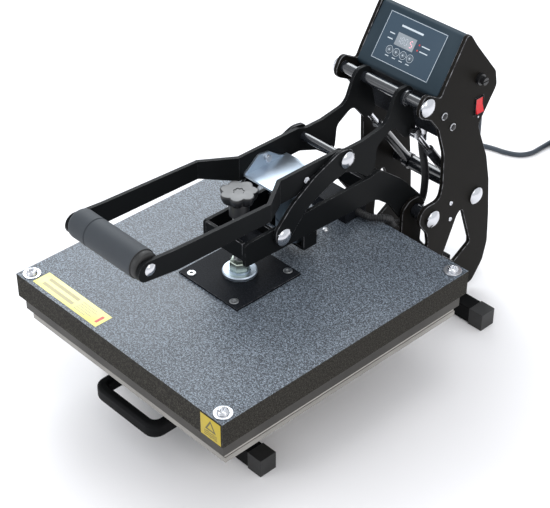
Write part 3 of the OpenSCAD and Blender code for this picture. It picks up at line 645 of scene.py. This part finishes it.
def makeLabels():
    bm = bmesh.new()
    top = coverHigh.z / mm
    slab(bm, (-172, 6, top), (-42, 33, top + 0.25), mat=0, bevel=0.08)
    lift, ink = top + 0.25, top + 0.3
    # left, front, width, depth, finish
    bars = [(-160, 22, 62, 5.4, 2), (-160, 11.6, 62, 5.4, 2), (-52, 12, 4.4, 14, 3)]
    bars += [(-92, 25.4 - 3.8 * i, width, 1.5, 2) for i, width in enumerate((28, 32, 24, 30, 22))]
    for x, y, w, h, mat in bars:
        slab(bm, (x, y, lift), (x + w, y + h, ink), mat=mat)
    bmesh.ops.translate(bm, vec=(0, coverLow.y, 0), verts=bm.verts)
    front = Matrix.Translation(at(0, 0, 0))
    slab(bm, (162, -0.28, 143), (197, 0, 175), front, 1, 0.08)
    for level, (radius, mat) in enumerate(((11, 4), (6.4, 1))):
        sign = bmesh.new()
        bmesh.ops.create_circle(sign, cap_ends=True, segments=3, radius=radius * mm)
        place = frameOn(Vector((179.5, -0.32 - 0.04 * level, 161)) * mm, -alongY, alongX)
        absorb(bm, sign, front @ place, mat)
    for i in range(3):
        for j in range(5):
            x = 168 + j * 4.6
            y = 152 - i * 2.8 + (0.5 if j % 2 else -0.5)
            slab(bm, (x, -0.33, y), (x + 4.4, -0.27, y + 1.1), front, 4)
    finishes = ["paleLabel", "deepLabel", "fadedInk", "redMark", "labelInk"]
    finish(bm, "printed_labels", "arm", finishes, "warning_labels", recalc=False)


# pressure screw, flange and star knob

knob = {"lobes": 7, "outer": 25.5, "dip": 5.2, "hub": 13}


def makeKnob():
    bm = bmesh.new()
    axis = middle("star_knob")
    start = Vector((axis.x, axis.y, 0))
    top = coverHigh.z / mm
    steps = knob["lobes"] * 14
    ring = bmesh.ops.create_circle(bm, cap_ends=False, segments=steps, radius=mm)["verts"]
    for v in ring:
        heading = math.atan2(v.co.y, v.co.x)
        wave = 0.5 + 0.5 * math.cos(knob["lobes"] * heading)
        reach = knob["outer"] - knob["dip"] * (1 - wave ** 0.62)
        v.co *= reach
    # share of the outline, height over the cover
    layers = [(0.5, 116), (0.66, 115.4), (0.78, 116.2), (0.86, 118), (0.93, 121.5), (0.985, 126), (1.0, 128)]
    layers += [(0.99, 129.2), (0.955, 129.9), (0.9, 130), (0.5, 129.6), (0.3, 129.5), (0.26, 128.6)]
    layers += [(0.04, 128.6)]
    edges = list(bm.edges)
    first = layers[0]
    for v in ring:
        v.co.x *= first[0]
        v.co.y *= first[0]
        v.co.z = (top + first[1]) * mm
    last = first[0]
    for scale, height in layers[1:]:
        grown = bmesh.ops.extrude_edge_only(bm, edges=edges)["geom"]
        verts = [g for g in grown if isinstance(g, bmesh.types.BMVert)]
        edges = [g for g in grown if isinstance(g, bmesh.types.BMEdge)]
        for v in verts:
            v.co.x *= scale / last
            v.co.y *= scale / last
            v.co.z = (top + height) * mm
        last = scale
    bmesh.ops.contextual_create(bm, geom=edges)
    bmesh.ops.translate(bm, vec=start, verts=bm.verts)
    h = knob["hub"]
    lathe(bm, [(8, 94), (h - 1, 94), (h, 95), (h, 112), (h - 0.4, 116.5), (8, 116.5)],
          Matrix.Translation(start + alongZ * top * mm), 40)
    finish(bm, "star_knob_moulded", "pressure", "blackPlastic", "star_knob", smooth=40)


def makeScrew():
    bm = bmesh.new()
    axis = middle("pressure_screw")
    top = coverHigh.z / mm
    place = Matrix.Translation(Vector((axis.x, axis.y, top * mm)))
    profile = [(0, 5.3), (6, 5.3), (6, 26), (8, 26)]
    pitch = 2.0
    for i in range(33):
        z = 27 + i * pitch
        profile += [(8, z), (7.1, z + pitch * 0.35), (7.1, z + pitch * 0.55), (8, z + pitch * 0.9)]
    profile += [(8, 94.5), (8, 101), (0, 101)]
    lathe(bm, profile, place, 36)
    finish(bm, "pressure_screw_thread", "pressure", "steel", "pressure_screw")
    bm = bmesh.new()
    flange = [(6.1, 3), (21.6, 3), (23, 3.8), (23, 7.6), (21.6, 9), (14.6, 9), (14.2, 9.2), (14.2, 10.2)]
    nut = [(6.1, 10.2), (12.6, 10.2), (13.4, 11), (13.4, 22), (12.6, 23.2), (7.4, 24), (6.1, 24)]
    lathe(bm, flange + [(6.1, 10.2)], place, 56)
    lathe(bm, nut, place, 6, 1)
    finish(bm, "swivel_flange_plated", "arm", ["zinc", "greenZinc"], "swivel_flange", smooth=25)


# foam grip

def makeGrip():
    bm = bmesh.new()
    low, high = corners("foam_grip")
    centre = (low + high) / 2
    r = (high.z - low.z) / 2 / mm
    half = (high.x - low.x) / 2 / mm
    seam, end = half - 30, half * 2
    profile = [(4.2, 0), (r - 5, 0), (r - 2.2, 0.9), (r - 0.6, 3), (r, 6)]
    profile += [(r, 12), (r - 0.05, seam * 0.5), (r, seam - 1.2), (r - 0.9, seam - 0.5)]
    profile += [(r - 0.9, seam + 0.5), (r, seam + 1.2), (r, half), (r - 0.15, half * 1.5)]
    profile += [(r, end - 12), (r - 0.2, end - 9), (r - 1.6, end - 8.4), (r - 1.6, end - 2)]
    profile += [(r - 3, end - 0.4), (r - 5, end), (4.2, end)]
    place = frameOn(Vector((low.x, centre.y, centre.z)), alongX)
    lathe(bm, profile, place, 64)
    for face in bm.faces:
        if face.calc_center_median().x > high.x - 8.8 * mm:
            face.material_index = 1
    obj = finish(bm, "foam_grip_sleeve", "lever", ["foam", "shoeRubber"], "foam_grip", smooth=50)


# drawer handle with its rounded bow

def makeHandle():
    softEdges("drawer_handle", "tubePaint", width=5.5, segments=5)


# corrugated conduit

conduit = {"radius": 5.6, "pitch": 3.2, "wave": (1.0, 1.0, 0.82, 0.82)}
conduitRoute = [(28, 522, 263), (29, 525, 242), (30, 530, 218), (30, 533, 193), (30, 530, 164),
                (29, 518, 146), (28, 498, 139), (30, 474, 146), (40, 454, 164), (50, 440, 180),
                (50, 429, 187), (38, 417, 187), (25, 414, 187), (15.5, 414, 187)]


def makeConduit():
    points = smoothPath([at(*p) for p in conduitRoute], 10)
    lengths = [0]
    for a, b in zip(points, points[1:]):
        lengths.append(lengths[-1] + (b - a).length)
    wave = conduit["wave"]
    count = int(lengths[-1] / (conduit["pitch"] * mm)) * len(wave)
    curve = bpy.data.curves.new("conduit_line", "CURVE")
    curve.dimensions = "3D"
    curve.bevel_depth = conduit["radius"] * mm
    curve.bevel_resolution = 3
    curve.use_fill_caps = True
    spline = curve.splines.new("POLY")
    spline.points.add(count)
    k = 0
    for i in range(count + 1):
        want = lengths[-1] * i / count
        while k < len(lengths) - 2 and lengths[k + 1] < want:
            k += 1
        share = (want - lengths[k]) / (lengths[k + 1] - lengths[k])
        spline.points[i].co = (*points[k].lerp(points[k + 1], share), 1)
        spline.points[i].radius = wave[i % len(wave)]
    line = bpy.data.objects.new("conduit_line", curve)
    scene.collection.objects.link(line)
    bpy.context.view_layer.update()
    shape = line.evaluated_get(bpy.context.evaluated_depsgraph_get())
    mesh = bpy.data.meshes.new_from_object(shape)
    mesh.materials.clear()
    mesh.materials.append(stuffs["hoseRubber"])
    mesh.shade_smooth()
    mesh.set_sharp_from_angle(angle=math.radians(40))
    obj = bpy.data.objects.new("conduit_ribbed", mesh)
    scene.collection.objects.link(obj)
    bpy.data.objects.remove(line)
    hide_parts("conduit")
    tuple(at(30, 518, 150))
    tuple(at(50, 452, 180))
    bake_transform(obj)


# side caps and screws

def makeSideScrews():
    bm = bmesh.new()
    plate = corners("frame_plate_right")[1].x / mm
    # y, z, radius: two capped bolts and three small screws on each side
    caps = [(506, 327, 5.5), (525, 303, 5.5), (534, 176, 3.5), (535, 149, 3.5), (578, 297, 1.6)]
    for side in (1, -1):
        for y, z, r in caps:
            place = frameOn(at(side * plate, y, z), alongX * side)
            if r > 5:
                lathe(bm, [(0, 0), (r, 0), (r, 0.8), (r - 0.5, 1.5), (r - 1.1, 1.5)], place, 36, 1)
                lathe(bm, [(r - 1.1, 1.5), (r - 1.3, 2.4), (r - 2.8, 3.3), (0, 3.5)], place, 36, 2)
            else:
                head = [(0, 0), (r, 0), (r, r * 0.16), (r * 0.86, r * 0.38), (r * 0.42, r * 0.5)]
                lathe(bm, head + [(r * 0.36, r * 0.3), (0, r * 0.3)], place, 28, 0)
    finish(bm, "side_caps", "frame", ["chrome", "brightWasher", "blackPlastic"], "side_screws")


# control panel print and display

panelFrame = Matrix.Translation(at(0, 505, 373)) @ Matrix.Rotation(math.radians(55.4), 4, "X")
# each stroke's left, bottom, and whether it lies across or stands
digitParts = {"a": (0, 1, True), "b": (1, 0.5, False), "c": (1, 0, False), "d": (0, 0, True),
              "e": (0, 0, False), "f": (0, 0.5, False), "g": (0, 0.5, True)}
digitShapes = ["abcdef", "bc", "abged", "abgcd", "fgbc", "afgcd", "afgedc", "abc", "abcdefg", "abcdfg"]


def digit(bm, x, y, w, h, number, mat, height):
    t = h * 0.11
    for part in digitShapes[number]:
        px, py, across = digitParts[part]
        if across:
            low = (x + t * 0.7, y + py * h - t / 2)
            high = (x + w - t * 0.7, y + py * h + t / 2)
        else:
            low = (x + px * w - t / 2, y + py * h + t * 0.7)
            high = (x + px * w + t / 2, y + py * h + h / 2 - t * 0.7)
        slab(bm, (*low, height), (*high, height + 0.12), panelFrame, mat)


def makeDisplay():
    bm = bmesh.new()
    slab(bm, (-26.4, 20.1, -6), (6.4, 37.9, 0.5), panelFrame, 0, 0.25)
    for i, number in enumerate((1, 8, 0)):
        digit(bm, -23.5 + i * 6.4, 24.6, 4.0, 8.6, number, 1, 0.5)
    digit(bm, -1.8, 24.6, 4.0, 8.6, 5, 2, 0.5)
    finish(bm, "display_window", "frame", ["window", "dimSegment", "litSegment"], "display", recalc=False)


def ringPrint(bm, x, y, r, width, height, mat):
    place = panelFrame @ Matrix.Translation(Vector((x, y, height)) * mm)
    lathe(bm, [(r, 0), (r, 0.08), (r + width, 0.08), (r + width, 0)], place, 36, mat)


# the film's print, on the panel's own axes in millimetres
film = {"low": (-52, -7), "high": (48, 60), "line": 0.6, "face": 0.4, "ink": 0.06}
buttons = {"first": -29, "step": 12.2, "up": 11.6, "face": 1.03, "mark": 1.7}


def printBar(bm, low, high):
    slab(bm, (*low, film["face"]), (*high, film["face"] + film["ink"]), panelFrame, 1)


def makeFilm():
    bm = copyOf("panel_film")
    (left, down), (right, up), line = film["low"], film["high"], film["line"]
    printBar(bm, (left, up - line), (right, up))
    printBar(bm, (left, down), (right, down + line))
    printBar(bm, (left, down), (left + line, up))
    printBar(bm, (right - line, down), (right, up))
    for i in range(4):
        x = buttons["first"] + buttons["step"] * i
        ringPrint(bm, x, buttons["up"], 5.1, 0.5, film["face"], 1)
        printBar(bm, (x - 3, 2.4), (x + 3, 3.5))
    for y in (33, 25.4):
        ringPrint(bm, 13, y, 0.1, 1.1, film["face"], 2)
        printBar(bm, (17, y - 0.7), (31, y + 0.7))
        printBar(bm, (-40, y - 0.7), (-31, y + 0.7))
    printBar(bm, (-26, 46), (12, 48.6))
    finish(bm, "panel_print", "frame", ["film", "print", "redMark"], "panel_film", recalc=False)


def makeButtonMarks():
    for i in range(4):
        x = buttons["first"] + buttons["step"] * i
        place = panelFrame @ Matrix.Translation(Vector((x, buttons["up"], buttons["face"])) * mm)
        turn = Matrix.Rotation(math.pi * (i % 2), 4, "Z")
        bm = bmesh.new()
        bmesh.ops.create_circle(bm, cap_ends=True, segments=3, radius=buttons["mark"] * mm)
        bmesh.ops.transform(bm, matrix=place @ turn, verts=bm.verts)
        button = "button_%d" % (i + 1)
        finish(bm, "button_mark_%d" % (i + 1), button, "print", slot="film_slate", recalc=False)


def makeFloor():
    bm = bmesh.new()
    bmesh.ops.create_grid(bm, x_segments=1, y_segments=1, size=floor["size"] / 2)
    stuffs["floor"] = Stuff("floor", floor["colour"], Roughness=floor["roughness"]).material
    obj = finish(bm, "floor", None, "floor")


makeCover()
makeFasteners()
makeLabels()
makeKnob()
makeScrew()
makeGrip()
makeHandle()
makeConduit()
makeSideScrews()
makeDisplay()
makeFilm()
makeButtonMarks()
makeFloor()
